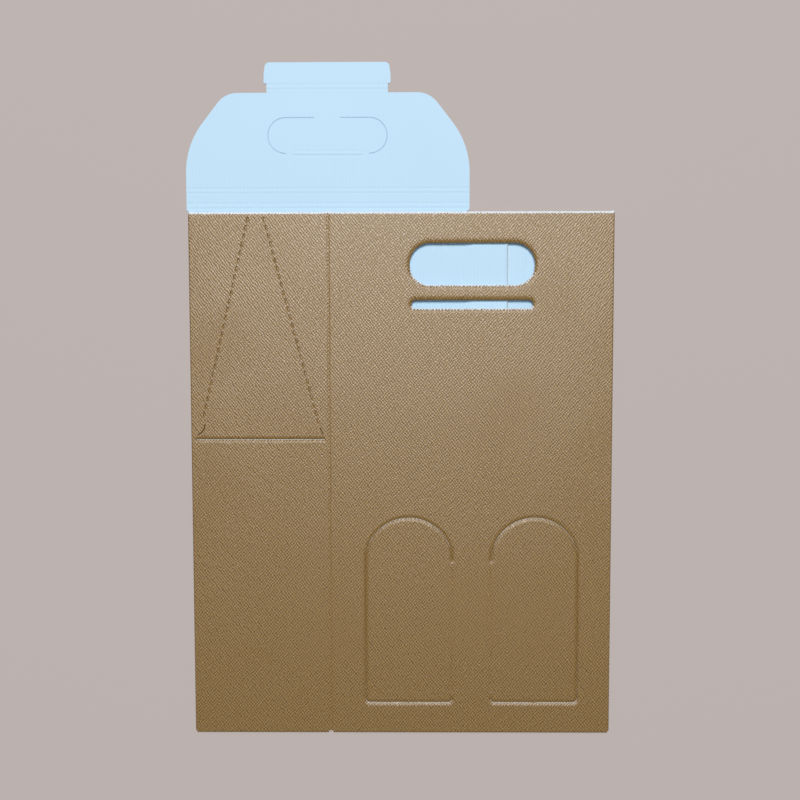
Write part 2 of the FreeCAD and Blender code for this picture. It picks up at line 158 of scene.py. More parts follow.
def press_cut(bm, path, half_width, rim, level, ends=6, sealed=False, lit_tear_reach=0.0, blunt=1.0):
    """A cut, or a sealed dent, along a path. rim lists (distance from the edge, depth), drawn together at the
    path's ends by blunt. The bare reach is how far bare board shows back from the cut where the rim faces the
    lid, the side the light comes from. This is in part raw board and in part a painted highlight, because
    rims that face away keep their gold. It gives the outermost ring's edges."""
    steps = sum(piece[-1] for piece in path)
    cut = bmesh.new()
    torn_and_lit = cut.verts.layers.float.new("torn_and_lit")
    half_turn = math.pi / (2 * ends)
    bmesh.ops.create_circle(cut, segments=2 * ends, radius=half_width / math.cos(half_turn),
                            matrix=Matrix.Rotation(half_turn, 4, "Z"))
    for vert in cut.verts:
        vert.co.x += steps if vert.co.x > 0 else 0.0
        vert.co.z = -rim[0][1]
    if steps > 1:
        long_edges = [e for e in cut.edges if abs(e.verts[0].co.x - e.verts[1].co.x) > steps * 0.9]
        bmesh.ops.subdivide_edges(cut, edges=long_edges, cuts=steps - 1)
    for vert in cut.verts:
        vert[torn_and_lit] = TORN_LIT_EDGE * (lit_tear_reach > 0)
    edges, around = cut.edges[:], len(cut.verts)
    if sealed:
        bmesh.ops.edgeloop_fill(cut, edges=edges)
    for (before, low), (after, high) in zip(rim, rim[1:]):
        share = max(0.0, 1 - after / lit_tear_reach) if lit_tear_reach else 0.0
        edges = widen(cut, edges, steps, after - before, low - high, share)
    for vert in cut.verts:
        inside = min(max(vert.co.x, 0.0), steps)
        middle, _ = walk(path, inside)
        point, way = walk(path, inside + (vert.co.x - inside) * blunt)
        place = point + Vector((-way.y, way.x)) * vert.co.y
        # Painted highlight: the bare board is kept where the rim faces the lid and the light, and it fades
        # where the rim faces away.
        light_facing = LIT_SIDE_START - LIT_SIDE_TURN * (place - middle).normalized().y
        vert[torn_and_lit] *= min(max(light_facing, 0.0), 1.0)
        vert.co = Vector((place.x, place.y, level + vert.co.z))
    scrap = bpy.data.meshes.new("cut")
    cut.to_mesh(scrap)
    cut.free()
    bm.from_mesh(scrap)
    bpy.data.meshes.remove(scrap)
    bm.verts.ensure_lookup_table()
    ring = bm.verts[-around:]
    outer = set(ring)
    return once(e for v in ring for e in v.link_edges if outer.issuperset(e.verts))


# %% [markdown]
# The cuts differ only in their rims. A hand hole's rim is pressed in widely and shows its raw edge, a
# kerf's is narrow, and a perforation slit is hardly more than a dent. Each profile is a list of distances
# from the edge with the depth there, and a negative depth stands up as a bead.

# %% Rim profiles
HOLE_RIM = [(0, 1.45), (0.3, 1.02), (0.8, 0.62), (1.4, 0.32), (2.1, 0.14), (2.9, 0.04), (3.6, 0.0),
            (4.2, 0.0)]
SLOT_RIM = [(0, 1.4), (0.3, 1.0), (0.75, 0.6), (1.35, 0.31), (2.1, 0.11), (2.9, 0.0), (3.4, 0.0)]
KERF_RIM = [(0, 0.78), (0.2, 0.62), (0.6, 0.43), (1.1, 0.24), (1.65, 0.09), (2.15, 0.0), (2.4, 0.0)]
FINE_RIM = [(0, 0.5), (0.15, 0.18), (0.35, 0.0), (0.5, 0.0)]
GUSSET_RIM = [(0, 0.85), (0.25, 0.65), (0.65, 0.43), (1.1, 0.23), (1.6, 0.08), (2.05, 0.0), (2.3, 0.0)]
SLIT_RIM = [(0, 0.8), (0.2, 0.36), (0.5, -0.08), (0.75, -0.06), (1.0, 0.0), (1.12, 0.0)]
DENT_RIM = [(0, 0.15), (0.2, 0.1), (0.45, -0.04), (0.68, 0.0), (0.88, 0.0)]
HINGE_RIM = [(0, 0.2), (0.35, 0.16), (0.9, 0.03), (1.4, 0.0), (1.7, 0.0)]
BEAD_RIM = [(0, -0.16), (0.3, -0.14), (0.7, -0.02), (1.1, 0.1), (1.7, 0.09), (2.3, 0.02), (2.8, 0.0),
            (3.1, 0.0)]
# Half the width of each line, between its two edges.
SLIT_HALF, DENT_HALF, TURN_HALF = 0.32, 0.14, 0.1
KERF_HALF, GUSSET_HALF, HINGE_HALF, FLAP_HALF = 0.04, 0.05, 0.05, 0.03


def below(rim):
    """A rim for the lower layer, whose gold side looks down."""
    return [(distance, -depth) for distance, depth in rim]


# %% Paths elsewhere
def mirrored(path, middle):
    """The same path on the other side of a line along Y."""
    other = []
    for piece in path:
        if piece[0] == "line":
            points = [Vector((2 * middle - p.x, p.y)) for p in piece[1:3]]
            other.append(("line", *points, piece[3]))
        else:
            centre = Vector((2 * middle - piece[1].x, piece[1].y))
            other.append(("arc", centre, piece[2], math.pi - piece[3], math.pi - piece[4], piece[5]))
    return other


def moved(path, x, y):
    """The same path at another place."""
    shift = Vector((x, y))
    ends = {"line": lambda end: end + shift, "arc": lambda radius: radius}
    return [(kind, start + shift, ends[kind](end), *rest) for kind, start, end, *rest in path]


# %% [markdown]
# A hand hole or a slot is the path along its middle, whose half width then gives the round ends. The
# front's hole is a little narrower than the back's, with the same upper edge and the same length. A door
# is one long kerf: over the arch, down its outer side, along its foot and up to the hinge.

# %% The front's openings
HOLE_HALF, FRONT_HOLE_HALF, SLOT_HALF = 14.3, 13.45, 2.6
HAND_HOLE = [line((-26.35, 0), (26.35, 0))]
FRONT_HOLE = [line((-27.2, 0.85), (27.2, 0.85))]
TAB_SLOT = [line((-36.8, 0), (36.8, 0))]
hand_hole_y, slot_y = BODY_TOP - 34.7, BODY_TOP - 59.9

DOOR_FOOT = FOOT + 20.9
HINGE, ARCH, DOOR_STRAIGHT, CORNER = 12.8, 28.65, 95.5, 2.5
ARCH_STEPS, SIDE_STEPS, CORNER_STEPS, FOOT_STEPS = 48, 12, 8, 8
OUTSIDE = HINGE + 2 * ARCH
DOOR = [
    arc((HINGE + ARCH, DOOR_STRAIGHT), ARCH, 180, 0, ARCH_STEPS),
    line((OUTSIDE, DOOR_STRAIGHT), (OUTSIDE, CORNER), SIDE_STEPS),
    arc((OUTSIDE - CORNER, CORNER), CORNER, 0, -90, CORNER_STEPS),
    line((OUTSIDE - CORNER, 0), (HINGE + CORNER, 0), FOOT_STEPS),
    arc((HINGE + CORNER, CORNER), CORNER, -90, -180, CORNER_STEPS),
]
door_right = moved(DOOR, FRONT_MIDDLE, DOOR_FOOT)
door_left = mirrored(door_right, FRONT_MIDDLE)
hinge_low, hinge_high = DOOR_FOOT + 8, DOOR_FOOT + 90
door_hinges = [[line((x, hinge_low), (x, hinge_high))] for x in (FRONT_MIDDLE - HINGE, FRONT_MIDDLE + HINGE)]
print("door: %.1f mm wide, arch top at y = %.1f" % (2 * ARCH, DOOR_FOOT + DOOR_STRAIGHT + ARCH))

# %% [markdown]
# Each side panel has a gusset, so that it can fold inwards at the top while the carton is carried. Two
# rows of slits run down from the edge to a cut across the panel, which turns up at its ends.

# %% The gusset's lines
GUSSET_HEIGHT = 148
SLIT_PITCH, SLIT_FROM, SLIT_TO = 5.4, 4.2, 6.0
LEFT_ROW, RIGHT_ROW = (4.6, 13.2, 25), (3.8, 14.6, 26)  # distance from the middle, slope, slits


def slit_row(middle, start, slope, count, side):
    """The slits of one perforated crease."""
    angle = math.radians(-90 + side * slope)
    way = Vector((math.cos(angle), math.sin(angle)))
    top = Vector((middle + side * start, BODY_TOP))
    return [[line(top + way * (SLIT_PITCH * i + SLIT_FROM), top + way * (SLIT_PITCH * i + SLIT_TO))]
            for i in range(count)]


def gusset(middle, left_end, right_end):
    """The slits, and the cut across the gusset's foot."""
    slits = slit_row(middle, *LEFT_ROW, -1) + slit_row(middle, *RIGHT_ROW, 1)
    cut_y = BODY_TOP - GUSSET_HEIGHT
    return slits, [[line((left_end, cut_y), (right_end, cut_y))]]


front_slits, front_gusset_cut = gusset(-92.75, -133.6, -49.5)
back_slits, back_gusset_cut = gusset(94.25, 54.6, 134.6)
front_turns = [[arc((-135.5, -13.4), 7.5, -66, 0, 8)], [line((-52.4, -16.0), (-50.5, -20.2), 5)]]
print("slits a side panel:", len(front_slits))

# %% [markdown]
# ## The sleeve
# The sleeve is modelled as what it is, one sheet. First come the flat panels of the upper layer with
# their cuts, then the creases and folds grow out of the panels' edges by extruding and spinning, and the
# lower layer closes the round. Solidify then gives the sheet its board thickness, with the liner inside
# and raw board on every edge. That keeps gold, liner and edge where they are on real board.

# %% Panels
def new_board():
    """An empty sheet whose points know how bare their paper shows: torn board at the raw edges, and bare
    board painted as a highlight on the rims that face the light.
    """
    bm = bmesh.new()
    bm.verts.layers.float.new("torn_and_lit")
    return bm


def outline(bm, points, level):
    """A closed outline of edges through points on one level."""
    verts = [bm.verts.new((x, y, level)) for x, y in points]
    return [bm.edges.new((a, b)) for a, b in zip(verts, verts[1:] + verts[:1])]


def lay_board(bm, edges):
    """Fill the board between an outline and the rings round its cuts. A triangle is board where a line
    from its middle meets the edges an odd number of times."""
    verts = once(v for e in edges for v in e.verts)
    number = {vert: i for i, vert in enumerate(verts)}
    pairs = [[number[v] for v in e.verts] for e in edges]
    filled = delaunay_2d_cdt([v.co.xy for v in verts], pairs, [], 1, 1e-4)
    ends = [(e.verts[0].co.xy, e.verts[1].co.xy) for e in edges]
    for triangle in filled[2]:
        corners = [verts[filled[3][i][0]] for i in triangle]
        x, y = sum((v.co.xy for v in corners), Vector((0, 0))) / 3
        met = sum((a.y > y) != (b.y > y) and x < a.x + (b.x - a.x) * (y - a.y) / (b.y - a.y) for a, b in ends)
        if met % 2:
            bm.faces.new(corners)


# %% Find a panel's edge
NEAR = 1e-3
SAME_LAYER = 1.2


def edges_at(bm, axis, place, level, low=-1e9, high=1e9):
    """The free edges that lie along one line of a layer, where axis 0 gives the line's x and 1 its y."""
    other = 1 - axis
    return [e for e in bm.edges if len(e.link_faces) < 2 and all(
        abs(v.co[axis] - place) < NEAR and low - NEAR < v.co[other] < high + NEAR
        and abs(v.co.z - level) < SAME_LAYER for v in e.verts)]


# %% [markdown]
# The front's upper edge is cut with a toothed rule, and that is why it shows as a bright, ragged line:
# the gold paper ends a little below the board's raw edge. The panel's last rows follow that, with fine
# teeth that come from a noise of fixed places.

# %% The toothed upper edge
EDGE_START = BODY_TOP - 2.6
EDGE_ROWS = [(0.9, 0.05, 0.5), (1.5, 0.2, 0.85), (2.6, 0.75, 1.05)]  # reach, depth, how torn
TOOTH = 1.2


def edge_points(left, right):
    """The points along the panel's upper edge, about a tooth apart, from right to left."""
    count = round((right - left) / TOOTH)
    return [(right + (left - right) * i / count, EDGE_START) for i in range(count + 1)]


def tooth_edge(bm, left, right, folds):
    """Grow the rows of the raw edge from a panel's upper edge, flat again towards the folds."""
    edges = edges_at(bm, 1, EDGE_START, STACK, left, right)
    for row, (reach, depth, torn_and_lit) in enumerate(EDGE_ROWS):
        verts, edges = pull_out(bm, edges)
        for vert in verts:
            flat = min([abs(vert.co.x - fold) / 4 for fold in folds] + [1.0])
            inner = min(abs(vert.co.x - left), abs(vert.co.x - right)) > 0.5
            tooth = inner * (0.5 + 0.5 * noise.noise(Vector((vert.co.x * 0.9, row * 0.35, 0))))
            rough = inner * (0.5 + 0.5 * noise.noise(Vector((vert.co.x * 3.1, row * 2.0, 5))))
            vert.co.y = EDGE_START + reach - (0.25 * tooth + 0.3 * rough) * (row > 0)
            vert.co.z = STACK - depth * flat
            vert[bm.verts.layers.float["torn_and_lit"]] = torn_and_lit


# %% The upper layer
sheet = new_board()
left_fold, right_fold = LEFT + FOLD_RUN, RIGHT - FOLD_RUN
foot_line = FOOT + FOOT_ROLL
crease_left, crease_right = FRONT_CREASE - 1.6, FRONT_CREASE + 1.6

rings = [press_cut(sheet, slit, SLIT_HALF, SLIT_RIM, STACK, ends=4, sealed=True) for slit in front_slits]
rings += [press_cut(sheet, turn, TURN_HALF, FINE_RIM, STACK) for turn in front_turns]
rings += [press_cut(sheet, cut, GUSSET_HALF, GUSSET_RIM, STACK, lit_tear_reach=0.7, blunt=0.35)
          for cut in front_gusset_cut]
side_outline = outline(sheet, [(left_fold, foot_line), (crease_left, foot_line)]
                       + edge_points(left_fold, crease_left), STACK)
lay_board(sheet, side_outline + [edge for ring in rings for edge in ring])

rings = [press_cut(sheet, moved(FRONT_HOLE, FRONT_MIDDLE, hand_hole_y), FRONT_HOLE_HALF, HOLE_RIM, STACK,
                   ends=20, lit_tear_reach=2.7),
         press_cut(sheet, moved(TAB_SLOT, FRONT_MIDDLE, slot_y), SLOT_HALF, SLOT_RIM, STACK,
                   ends=10, lit_tear_reach=2.7)]
rings += [press_cut(sheet, door, KERF_HALF, KERF_RIM, STACK, lit_tear_reach=0.28) for door in (door_left, door_right)]
rings += [press_cut(sheet, hinge, HINGE_HALF, HINGE_RIM, STACK, sealed=True) for hinge in door_hinges]
front_outline = outline(sheet, [(x, foot_line) for x in (crease_right, FRONT_MIDDLE, right_fold)]
                        + edge_points(crease_right, right_fold), STACK)
lay_board(sheet, front_outline + [edge for ring in rings for edge in ring])
tooth_edge(sheet, left_fold, crease_left, [left_fold])
tooth_edge(sheet, crease_right, right_fold, [right_fold])
print("upper layer:", len(sheet.faces), "faces")

# %% [markdown]
# The front's crease is pressed from the gold side, a shallow trough between two soft shoulders. The two
# folds are spun round the middle of the stack and then pressed narrow, as a folded carton is.

# %% Crease and folds
def grow(bm, edges, x=0.0, y=0.0, z=0.0):
    """Extrude free edges by one step and give the new free edges."""
    verts, free = pull_out(bm, edges)
    bmesh.ops.translate(bm, verts=list(verts), vec=(x, y, z))
    return free


def roll(bm, edges, centre, axis, angle, narrow=1.0, steps=10):
    """Spin free edges round a fold, and press the roll narrow across its centre."""
    count = len(bm.verts)
    verts = once(v for e in edges for v in e.verts)
    last = bmesh.ops.spin(bm, geom=edges + verts, cent=centre, axis=axis, angle=angle, steps=steps,
                          dvec=(0, 0, 0), use_duplicate=False)["geom_last"]
    bm.verts.ensure_lookup_table()
    for vert in bm.verts[count:]:
        vert.co.x = centre[0] + (vert.co.x - centre[0]) * narrow
    return only(bmesh.types.BMEdge, last)


FRONT_TROUGH = [(0.7, -0.1), (0.45, -0.19), (0.45, -0.05), (0.45, 0.05), (0.45, 0.19), (0.7, 0.1)]
trough = edges_at(sheet, 0, crease_left, STACK)
for across, rise in FRONT_TROUGH:
    trough = grow(sheet, trough, x=across, z=rise)
half_stack = STACK / 2
for fold, angle in ((left_fold, -math.pi), (right_fold, math.pi)):
    roll(sheet, edges_at(sheet, 0, fold, STACK), (fold, 0, half_stack), (0, 1, 0), angle,
         narrow=FOLD_RUN / half_stack)
print("left fold reaches x = %.2f, right fold x = %.2f" % (
    min(v.co.x for v in sheet.verts), max(v.co.x for v in sheet.verts)))

# %% [markdown]
# Below are the back panel, whose edge stands above the front's as the root of the lid, and the rest of
# the right side panel. The back's glue flap steps up over it: that step shows inside the hand hole.

# %% The lower layer
edge_heights = [EDGE_START] + [EDGE_START + reach for reach, _, _ in EDGE_ROWS]
step_start, strip_start, tuck_start = 42.0, 48.5, 71.8
LID_CHAMFER = 2.5
root_y = LID_CREASE - CREASE_HALF
back_hole = press_cut(sheet, moved(HAND_HOLE, BACK_MIDDLE, hand_hole_y), HOLE_HALF, below(HOLE_RIM), 0.0,
                      ends=20, lit_tear_reach=0.9)
back_outline = outline(sheet, [(x, foot_line) for x in (left_fold, BACK_MIDDLE, step_start)] + [
    (step_start, BODY_TOP), (LID_RIGHT - LID_CHAMFER, BODY_TOP), (LID_RIGHT, root_y), (LID_LEFT, root_y),
    (LID_LEFT + LID_CHAMFER, BODY_TOP)] + [(left_fold, y) for y in reversed(edge_heights)], 0.0)
lay_board(sheet, back_outline + back_hole)
rings = [press_cut(sheet, slit, DENT_HALF, below(DENT_RIM), 0.0, ends=4, sealed=True) for slit in back_slits]
rings += [press_cut(sheet, cut, TURN_HALF, below(GUSSET_RIM), 0.0, lit_tear_reach=0.8) for cut in back_gusset_cut]
strip_outline = outline(sheet, [(strip_start, foot_line), (tuck_start, foot_line), (right_fold, foot_line)]
                        + [(right_fold, y) for y in edge_heights] + [(strip_start, BODY_TOP)], 0.0)
lay_board(sheet, strip_outline + [edge for ring in rings for edge in ring])
GLUE_FLAP = [(6.0, BOARD), (19.3, 0.0), (1.8, 0.3), (1.2, 0.5)]  # the step, the flap, its lifted edge
flap_edge = edges_at(sheet, 0, step_start, 0.0)
for across, rise in GLUE_FLAP:
    flap_edge = grow(sheet, flap_edge, x=across, z=rise)
print("with the lower layer:", len(sheet.faces), "faces")

# %% [markdown]
# At the foot each panel folds in on itself, and its flap lies glued inside the sleeve.

# %% Bottom flaps
SIDE_FLAP, SIDE_SLOPE, SIDE_CLEAR = 46, 26, 3
PANEL_FLAP, PANEL_SLOPE = 44, 6.8
LOCK_REACH, LOCK_HOOK, LOCK_SLOPE = 14, 12, 2.2


def tuck_in(left, right, upper, deep, slope_left=0.0, slope_right=0.0):
    """Fold one bottom flap in at the foot of its panel, and give its free edge."""
    level, turn = (STACK - FOOT_ROLL, 1) if upper else (FOOT_ROLL, -1)
    edges = edges_at(sheet, 1, foot_line, STACK if upper else 0.0, left, right)
    inner = roll(sheet, edges, (0, foot_line, level), (1, 0, 0), turn * math.pi, steps=8)
    free = grow(sheet, inner, y=deep)
    ends = sorted({v for e in free for v in e.verts}, key=lambda v: v.co.x)
    ends[0].co.x += slope_left
    ends[-1].co.x -= slope_right
    return free


tuck_in(left_fold, crease_left, True, SIDE_FLAP, slope_right=SIDE_SLOPE)
tuck_in(tuck_start, right_fold, False, SIDE_FLAP, slope_left=SIDE_CLEAR)
front_flap = tuck_in(crease_right, right_fold, True, PANEL_FLAP, slope_left=PANEL_SLOPE)
back_flap = tuck_in(left_fold, step_start, False, PANEL_FLAP, slope_right=PANEL_SLOPE)
for flap, middle, side in ((front_flap, FRONT_MIDDLE, -1), (back_flap, BACK_MIDDLE, 1)):
    half = [e for e in flap if all(side * (v.co.x - middle) > -NEAR for v in e.verts)]
    tip = grow(sheet, half, y=LOCK_REACH)
    for vert in {v for e in tip for v in e.verts}:
        vert.co.x += side * LOCK_HOOK if abs(vert.co.x - middle) < NEAR else -side * LOCK_SLOPE

# %% [markdown]
# The sheet is joined, turned right side out and thickened. Its own materials follow the board: gold
# outside, liner inside, raw board on every cut edge. Normals are kept sharp only where the board turns
# hard, so the rims stay soft.

# %% Make an object
def make_piece(name, bm, finishes):
    """An object from a finished bmesh, with its finishes in order."""
    mesh = bpy.data.meshes.new(name)
    bm.to_mesh(mesh)
    bm.free()
    for finish in finishes:
        mesh.materials.append(finish)
    piece = bpy.data.objects.new(name, mesh)
    bpy.context.scene.collection.objects.link(piece)
    return piece


def apply_modifiers(piece):
    """Put the piece's modifiers into its mesh."""
    shape = piece.evaluated_get(bpy.context.evaluated_depsgraph_get())
    finished = bpy.data.meshes.new_from_object(shape)
    piece.modifiers.clear()
    piece.data = finished


# %% Thicken the board
HARD_TURN = 32  # degrees, past which an edge of the board looks sharp


def board_piece(name, bm, finishes, up=lambda face: True):
    """Join a sheet's parts, turn its largest upper face up, thicken it downwards, and give the finished
    piece, in metres. finishes holds the upper side, the lower side and the cut edge."""
    bmesh.ops.remove_doubles(bm, verts=bm.verts, dist=0.01)
    bmesh.ops.recalc_face_normals(bm, faces=bm.faces)
    largest = max((f for f in bm.faces if up(f)), key=lambda f: f.calc_area())
    if largest.normal.z < 0:
        bmesh.ops.reverse_faces(bm, faces=bm.faces)
    bmesh.ops.scale(bm, verts=bm.verts, vec=(MM, MM, MM))
    piece = make_piece(name, bm, finishes)
    board = piece.modifiers.new("board", "SOLIDIFY")
    board.thickness, board.offset = BOARD * MM, -1
    board.material_offset, board.material_offset_rim = 1, 2
    apply_modifiers(piece)
    piece.data.name = name
    piece.data.shade_smooth()
    piece.data.set_sharp_from_angle(angle=math.radians(HARD_TURN))
    flat = piece.modifiers.new("flat panels", "WEIGHTED_NORMAL")
    flat.mode, flat.weight, flat.keep_sharp = "FACE_AREA", 80, True
    apply_modifiers(piece)
    print("%s: %d faces" % (name, len(piece.data.polygons)))
    return piece


# %% [markdown]
# ## Finishes
# Three finishes make the board. The gold paper is embossed with a fine diamond grain: two families of
# ridges that cross, run slightly wild and take turns in being the stronger one. A wave texture gives one
# family, so the grain is a shader group with two of them. All patterns read Object coordinates, which
# are metres here, so each scale is a real size.

# %% Node helpers
def new_finish(name):
    """A material with its nodes, its shader and its Object coordinates."""
    finish = bpy.data.materials.new(name)
    finish.use_nodes = True
    nodes, links = finish.node_tree.nodes, finish.node_tree.links
    place = nodes.new("ShaderNodeTexCoord").outputs["Object"]
    return finish, nodes, links, nodes["Principled BSDF"], place


def new_effect(name, inputs, outputs):
    """A shader group with named inputs, as name: (kind, value), and outputs, as name: kind."""
    group = bpy.data.node_groups.new(name, "ShaderNodeTree")
    for label, (kind, value) in inputs.items():
        socket = group.interface.new_socket(label, in_out="INPUT", socket_type=kind)
        if value is not None:
            socket.default_value = value
    for label, kind in outputs.items():
        group.interface.new_socket(label, in_out="OUTPUT", socket_type=kind)
    nodes = group.nodes
    return group, nodes, group.links, nodes.new("NodeGroupInput").outputs, nodes.new("NodeGroupOutput").inputs


def place_effect(nodes, links, group, place, **values):
    """Put an effect into a material, with its own values."""
    node = nodes.new("ShaderNodeGroup")
    node.node_tree = group
    links.new(place, node.inputs["Place"])
    for label, value in values.items():
        node.inputs[label.replace("_", " ")].default_value = value
    return node.outputs


def calculate(nodes, links, kind, *terms, clamp=False):
    """A Math node from sockets and numbers."""
    node = nodes.new("ShaderNodeMath")
    node.operation, node.use_clamp = kind, clamp
    for socket, term in zip(node.inputs, terms):
        if isinstance(term, (int, float)):
            socket.default_value = term
        else:
            links.new(term, socket)
    return node.outputs[0]


def cloud(nodes, links, place, scale, detail=2.0, rough=0.5):
    """A noise texture's value, at a scale that is a number or a socket."""
    node = nodes.new("ShaderNodeTexNoise")
    if isinstance(scale, float):
        node.inputs["Scale"].default_value = scale
    else:
        links.new(scale, node.inputs["Scale"])
    node.inputs["Detail"].default_value = detail
    node.inputs["Roughness"].default_value = rough
    links.new(place, node.inputs["Vector"])
    return node.outputs["Fac"]


def blend_colours(nodes, links, share, first, second):
    """A mix of two colours, each a socket or a plain colour."""
    node = nodes.new("ShaderNodeMix")
    node.data_type = "RGBA"
    factor, colour_a, colour_b = (node.inputs[i] for i in (0, 6, 7))
    for socket, term in ((factor, share), (colour_a, first), (colour_b, second)):
        if isinstance(term, tuple):
            socket.default_value = (*term, 1.0)
        elif isinstance(term, (int, float)):
            socket.default_value = term
        else:
            links.new(term, socket)
    return node.outputs[2]


def emboss(nodes, links, shader, height, strength, depth):
    """Press a height into the shader's normal, with a depth in metres."""
    bump = nodes.new("ShaderNodeBump")
    bump.inputs["Strength"].default_value = strength
    bump.inputs["Distance"].default_value = depth
    links.new(height, bump.inputs["Height"])
    links.new(bump.outputs["Normal"], shader.inputs["Normal"])


# %% The grain, as a group
GRAIN_TURNS = (-38.0, 42.0)
WAVES_PER_UNIT = 2 * math.pi / 20  # the scale at which a wave texture repeats once a metre


def make_grain():
    """Two crossing families of embossed ridges; a slow noise decides which one is stronger."""
    group, nodes, links, given, result = new_effect(
        "pressed_grain", {"Place": ("NodeSocketVector", None), "Ridges per metre": ("NodeSocketFloat", 640.0),
                          "Wildness": ("NodeSocketFloat", 5.0)}, {"Height": "NodeSocketFloat"})
    scale = calculate(nodes, links, "MULTIPLY", given["Ridges per metre"], WAVES_PER_UNIT)
    families = []
    for turn in GRAIN_TURNS:
        mapping = nodes.new("ShaderNodeMapping")
        mapping.inputs["Rotation"].default_value[2] = math.radians(turn)
        links.new(given["Place"], mapping.inputs["Vector"])
        wave = nodes.new("ShaderNodeTexWave")
        wave.wave_type, wave.bands_direction, wave.wave_profile = "BANDS", "X", "SIN"
        wave.inputs["Detail"].default_value = 2.0
        wave.inputs["Detail Scale"].default_value = 1.6
        links.new(scale, wave.inputs["Scale"])
        links.new(given["Wildness"], wave.inputs["Distortion"])
        links.new(mapping.outputs["Vector"], wave.inputs["Vector"])
        families.append(wave.outputs["Fac"])
    slow = cloud(nodes, links, given["Place"], 22.0, 1.0)
    share = calculate(nodes, links, "MULTIPLY_ADD", slow, 2.0, -0.5, clamp=True)
    first = calculate(nodes, links, "MULTIPLY_ADD", share, 0.24, 0.36)
    second = calculate(nodes, links, "SUBTRACT", 0.95, first)
    one = calculate(nodes, links, "MULTIPLY", families[0], first)
    links.new(calculate(nodes, links, "MULTIPLY_ADD", families[1], second, one), result["Height"])
    return group


grain = make_grain()

# %% [markdown]
# Handling leaves slow cloudy stains and fine scuffs. They share one group, which the gold and the liner
# each take at their own scale and strength.

# %% Handling marks, as a group
def make_marks():
    """Cloudy stains, and fine scuffs that come in patches."""
    group, nodes, links, given, result = new_effect(
        "handling_marks", {"Place": ("NodeSocketVector", None), "Patch scale": ("NodeSocketFloat", 14.0)},
        {"Stain": "NodeSocketFloat", "Scuff": "NodeSocketFloat"})
    slow = cloud(nodes, links, given["Place"], given["Patch scale"], 3.0)
    links.new(calculate(nodes, links, "MULTIPLY_ADD", slow, 2.4, -0.7, clamp=True), result["Stain"])
    fine = cloud(nodes, links, given["Place"], 900.0, 4.0, 0.7)
    patch = cloud(nodes, links, given["Place"], 45.0, 2.0)
    speck = calculate(nodes, links, "MULTIPLY_ADD", fine, 5.0, -2.9, clamp=True)
    where = calculate(nodes, links, "MULTIPLY_ADD", patch, 4.0, -1.8, clamp=True)
    links.new(calculate(nodes, links, "MULTIPLY", speck, where), result["Scuff"])
    return group


marks = make_marks()

# %% [markdown]
# The gold paper is pale on the ridges and brown in the valleys, with a soft sheen. The valleys' brown is a
# painted shade of the emboss. It is paper, so it is only slightly metallic. The points of the mesh know how
# bare their paper shows, and there the raw board shows through in ragged specks that follow the grain. These
# specks are torn board at the raw edges, and a painted highlight on the cut rims that face the light.

# %% Gold paper
# The valley colour is a painted shade: the emboss's hollows are darkened in the colour, on top of the bump.
GOLD_RIDGE, GOLD_VALLEY_SHADE = (0.44, 0.255, 0.066), (0.16, 0.081, 0.02)
GOLD_STAIN, BARE_LIT_BOARD = (0.2, 0.13, 0.06), (0.88, 0.9, 0.91)


def make_gold():
    """Gold paper with an embossed grain, darker in its valleys as painted shade. Where the points are bare,
    the raw board's fibres show in ragged specks: torn board, and on rims that face the light a painted
    highlight.
    """
    finish, nodes, links, shader, place = new_finish("gold_paper")
    pressed = place_effect(nodes, links, grain, place)
    worn = place_effect(nodes, links, marks, place)
    # Painted shade: the lower the grain, the nearer the colour comes to the dark valley colour.
    valley_shade = calculate(nodes, links, "MULTIPLY_ADD", pressed["Height"], -1.3, 1.15, clamp=True)
    colour = blend_colours(nodes, links, valley_shade, GOLD_RIDGE, GOLD_VALLEY_SHADE)
    stained = blend_colours(nodes, links, calculate(nodes, links, "MULTIPLY", worn["Stain"], 0.04),
                            colour, GOLD_STAIN)
    torn_and_lit = nodes.new("ShaderNodeAttribute")
    torn_and_lit.attribute_name = "torn_and_lit"
    fibre = cloud(nodes, links, place, 1300.0, 3.0, 0.7)
    edge = calculate(nodes, links, "MULTIPLY_ADD", fibre, 1.1, torn_and_lit.outputs["Fac"])
    edge = calculate(nodes, links, "MULTIPLY_ADD", pressed["Height"], 0.5, edge)
    # Painted highlight: near-white board on the cut rims that face the light, mixed in with the raw board at
    # torn edges.
    bare_and_lit = calculate(nodes, links, "MULTIPLY_ADD", edge, 4.0, -5.4, clamp=True)
    links.new(blend_colours(nodes, links, bare_and_lit, stained, BARE_LIT_BOARD), shader.inputs["Base Color"])
    rough = calculate(nodes, links, "MULTIPLY_ADD", worn["Scuff"], 0.03, 0.43)
    links.new(calculate(nodes, links, "MULTIPLY_ADD", bare_and_lit, 0.3, rough), shader.inputs["Roughness"])
    shader.inputs["Metallic"].default_value = 0.04
    shader.inputs["IOR"].default_value = 1.76
    emboss(nodes, links, shader, pressed["Height"], 0.4, 0.0004)
    return finish


gold_paper = make_gold()

# %% Inside liner
LINER_PALE, LINER_DEEP = (0.60, 0.81, 0.955), (0.50, 0.71, 0.885)
FLUTES_PER_METRE = 420


